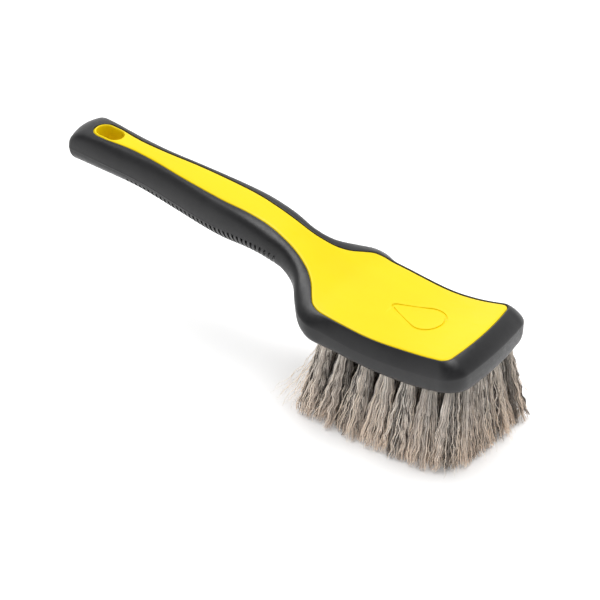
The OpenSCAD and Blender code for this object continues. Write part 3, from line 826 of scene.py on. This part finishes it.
class Shade:
    """A material's node tree, with the wiring kept short."""

    def __init__(self, name):
        self.mat = bpy.data.materials.new(name)
        self.mat.use_nodes = True
        self.tree = self.mat.node_tree
        self.bsdf = self.tree.nodes["Principled BSDF"]
        self.coords = self.node("ShaderNodeTexCoord").outputs["Object"]

    def node(self, kind, **inputs):
        made = self.tree.nodes.new(kind)
        for key, value in inputs.items():
            link_or_set(self.tree, made.inputs[key.replace("_", " ")], value)
        return made

    def noise(self, scale, detail=3.0, rough=0.55, stretch=None):
        vector = self.coords
        if stretch:
            vector = self.node("ShaderNodeMapping", Vector=vector, Scale=stretch).outputs[0]
        return self.node(
            "ShaderNodeTexNoise", Vector=vector, Scale=scale, Detail=detail, Roughness=rough
        ).outputs["Fac"]

    def ramp(self, fac, *stops):
        return fill_ramp(self.node("ShaderNodeValToRGB", Fac=fac), stops)

    def span(self, fac, low, high, start=0.3, end=0.7):
        made = self.node("ShaderNodeMapRange", Value=fac)
        limits = {"From Min": start, "From Max": end, "To Min": low, "To Max": high}
        for key, value in limits.items():
            made.inputs[key].default_value = value
        return made.outputs["Result"]

    def mix(self, fac, a, b, blend="MIX"):
        made = self.tree.nodes.new("ShaderNodeMix")
        made.data_type, made.blend_type = "RGBA", blend
        for index, value in ((0, fac), (6, a), (7, b)):
            link_or_set(self.tree, made.inputs[index], value)
        return made.outputs[2]

    def bump(self, height, distance, strength=1.0, onto=None):
        made = self.node("ShaderNodeBump", Height=height, Strength=strength, Distance=distance)
        if onto:
            self.tree.links.new(onto, made.inputs["Normal"])
        return made.outputs["Normal"]

    def set(self, **inputs):
        for key, value in inputs.items():
            link_or_set(self.tree, self.bsdf.inputs[key.replace("_", " ")], value)
        return self.mat


def core_material():
    m = Shade("yellow_plastic")
    flow = m.noise(38, 2.0, 0.5, (0.6, 1.2, 1.0))
    tint = m.ramp(flow, (0.3, (0.76, 0.565, 0.0008, 1)), (0.7, (0.79, 0.592, 0.0012, 1)))
    scuff = m.noise(260, 5.0, 0.7, (0.35, 1.6, 1.0))
    rough = m.span(scuff, 0.30, 0.46, 0.35, 0.72)
    wear = m.ramp(m.node("ShaderNodeNewGeometry").outputs["Pointiness"], (0.52, 0.0), (0.6, 0.35))
    colour = m.mix(wear, tint, (0.82, 0.68, 0.03, 1))
    grain = m.bump(m.noise(2600, 2.0), 0.00003, 0.5)
    ripple = m.bump(m.noise(70, 1.0), 0.0003, 0.25, grain)
    return m.set(
        Base_Color=colour, Roughness=rough, Normal=ripple, IOR=1.49, Specular_IOR_Level=0.22
    )


def jacket_material():
    m = Shade("black_soft_plastic")
    patch = m.noise(55, 4.0, 0.6)
    tint = m.ramp(patch, (0.32, (0.008, 0.008, 0.009, 1)), (0.7, (0.014, 0.014, 0.015, 1)))
    wear = m.ramp(m.node("ShaderNodeNewGeometry").outputs["Pointiness"], (0.51, 0.0), (0.62, 0.6))
    colour = m.mix(wear, tint, (0.05, 0.05, 0.052, 1))
    rough = m.span(m.noise(420, 5.0, 0.7), 0.30, 0.46, 0.35, 0.7)
    grain = m.bump(m.noise(3200, 3.0, 0.6), 0.00006, 0.7)
    soft = m.bump(m.noise(90, 2.0), 0.0004, 0.3, grain)
    return m.set(Base_Color=colour, Roughness=rough, Normal=soft, IOR=1.5, Specular_IOR_Level=0.4)


def block_material():
    m = Shade("block_plastic")
    patch = m.noise(80, 4.0, 0.6)
    tint = m.ramp(patch, (0.3, (0.008, 0.008, 0.008, 1)), (0.7, (0.016, 0.0155, 0.015, 1)))
    rough = m.span(m.noise(500, 4.0, 0.6), 0.45, 0.65)
    return m.set(Base_Color=tint, Roughness=rough, Normal=m.bump(m.noise(1800, 3.0), 0.0001, 0.6))


def anchor_material():
    m = Shade("drawn_steel")
    lines = m.noise(900, 3.0, 0.5, (1.0, 0.06, 1.0))
    tint = m.ramp(lines, (0.3, (0.42, 0.42, 0.43, 1)), (0.7, (0.60, 0.60, 0.60, 1)))
    rough, drawn = m.span(lines, 0.25, 0.45), m.bump(lines, 0.00005, 0.5)
    return m.set(Base_Color=tint, Roughness=rough, Metallic=1.0, Normal=drawn)


def hair_material():
    m = Shade("natural_hair")
    tone = m.node("ShaderNodeAttribute")
    tone.attribute_name = "tone"
    streak = m.noise(240, 3.0, 0.6, (1.0, 1.0, 0.35))
    shade = m.ramp(streak, (0.3, (0.78, 0.77, 0.76, 1)), (0.7, (1.12, 1.1, 1.08, 1)))
    colour = m.mix(1.0, tone.outputs["Color"], shade, "MULTIPLY")
    return m.set(Base_Color=colour, Roughness=m.span(streak, 0.42, 0.62))


def finish_piece(ob, material):
    ob.data.materials.clear()
    ob.data.materials.append(material)


finish_piece(core, core_material())
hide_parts("handle_core")
finish_piece(jacket, jacket_material())
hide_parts("grip_overmould")
hair = hair_material()
for tuft in tufts:
    finish_piece(tuft, hair)
finish_piece(nodes["tuft_block"], block_material())
finish_piece(nodes["tuft_anchors"], anchor_material())
for piece in [core, jacket, *tufts]:
    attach(piece, "root")

# ---------------------------------------------------------------- floor, light and camera

lo, hi = cad_box
MIDDLE = (lo + hi) / 2
AZIMUTH, ELEVATION, DISTANCE = math.radians(36.6), math.radians(36.4), 1.143
AIM_AHEAD, AIM_BELOW = 0.0138, 0.0072  # of the CAD box's middle
SENSOR, LENS_SHARE, CLIP_END = 36, 3.6, 50  # the focal length is this share of the sensor
FLOOR_HALF, FLOOR_GLOW, SKY = 700.0, 0.18, 1.3
KEY_WAY, KEY_DISTANCE, KEY_SIZE, KEY_POWER = (0.05, 0.1, 1.0), 1.5, 1.2, 26


def floor():
    m = Shade("white_floor")
    tint = m.ramp(m.noise(6, 2.0), (0.3, (0.93, 0.93, 0.93, 1)), (0.7, (0.95, 0.95, 0.95, 1)))
    m.set(Base_Color=tint, Roughness=0.8, Specular_IOR_Level=0.2)
    m.set(Emission_Color=tint, Emission_Strength=FLOOR_GLOW)
    # clear from below, so that the underside can be looked at
    clear = m.node("ShaderNodeBsdfTransparent").outputs[0]
    sides = m.tree.nodes.new("ShaderNodeMixShader")
    m.tree.links.new(m.node("ShaderNodeNewGeometry").outputs["Backfacing"], sides.inputs[0])
    m.tree.links.new(m.bsdf.outputs[0], sides.inputs[1])
    m.tree.links.new(clear, sides.inputs[2])
    m.tree.links.new(sides.outputs[0], m.tree.nodes["Material Output"].inputs["Surface"])
    corners = [(x * FLOOR_HALF, y * FLOOR_HALF, 0) for x, y in ((-1, -1), (1, -1), (1, 1), (-1, 1))]
    ob = new_object("floor", corners, [(0, 1, 2, 3)])
    ob.data.materials.append(m.mat)


def soft_box(name, towards, distance, size, power):
    light = bpy.data.lights.new(name, "AREA")
    light.shape, light.size, light.size_y, light.energy = "RECTANGLE", size, size, power
    ob = linked(name, light)
    way = Vector(towards).normalized()
    ob.location = MIDDLE + way * distance
    ob.rotation_euler = way.to_track_quat("Z", "Y").to_euler()


def studio_world():
    """Sky that is bright behind the brush and near the horizon, and darker above the camera."""
    world = bpy.data.worlds.new("studio")
    bpy.context.scene.world = world
    world.use_nodes = True
    tree = world.node_tree

    def node(kind, *links):
        made = tree.nodes.new(kind)
        for index, value in enumerate(links):
            if value is not None:
                tree.links.new(value, made.inputs[index])
        return made

    def ramp(fac, *stops):
        return fill_ramp(node("ShaderNodeValToRGB", fac), stops)

    way = node("ShaderNodeTexCoord").outputs["Generated"]
    height = node("ShaderNodeSeparateXYZ", way).outputs["Z"]
    behind = node("ShaderNodeVectorMath", way)
    behind.operation = "DOT_PRODUCT"
    behind.inputs[1].default_value = (-math.sin(AZIMUTH), math.cos(AZIMUTH), 0)
    share = node("ShaderNodeMapRange", behind.outputs["Value"])
    share.inputs["From Min"].default_value, share.inputs["From Max"].default_value = -0.5, 0.8
    blend = tree.nodes.new("ShaderNodeMix")
    blend.data_type = "RGBA"
    before = ramp(height, (0.0, 1.0), (0.25, 0.6), (0.5, 0.12), (0.85, 0.06), (1.0, 0.3))
    beyond = ramp(height, (0.0, 1.0), (0.3, 1.0), (0.6, 0.85), (1.0, 0.3))
    for index, value in ((0, share.outputs[0]), (6, before), (7, beyond)):
        tree.links.new(value, blend.inputs[index])
    tree.links.new(blend.outputs[2], tree.nodes["Background"].inputs["Color"])
    tree.nodes["Background"].inputs["Strength"].default_value = SKY


floor()
studio_world()
soft_box("top", KEY_WAY, KEY_DISTANCE, KEY_SIZE, KEY_POWER)

aim = Vector((MIDDLE.x + AIM_AHEAD, 0, MIDDLE.z - AIM_BELOW))
back = Vector((
    math.sin(AZIMUTH) * math.cos(ELEVATION),
    -math.cos(AZIMUTH) * math.cos(ELEVATION),
    math.sin(ELEVATION),
))
camera = linked("camera", bpy.data.cameras.new("camera"))
camera.location = aim + back * DISTANCE
camera.rotation_euler = back.to_track_quat("Z", "Y").to_euler()
camera.data.sensor_width = SENSOR
camera.data.lens = SENSOR * LENS_SHARE
camera.data.clip_end = CLIP_END
bpy.context.scene.camera = camera
bpy.context.scene.view_settings.view_transform = "Standard"
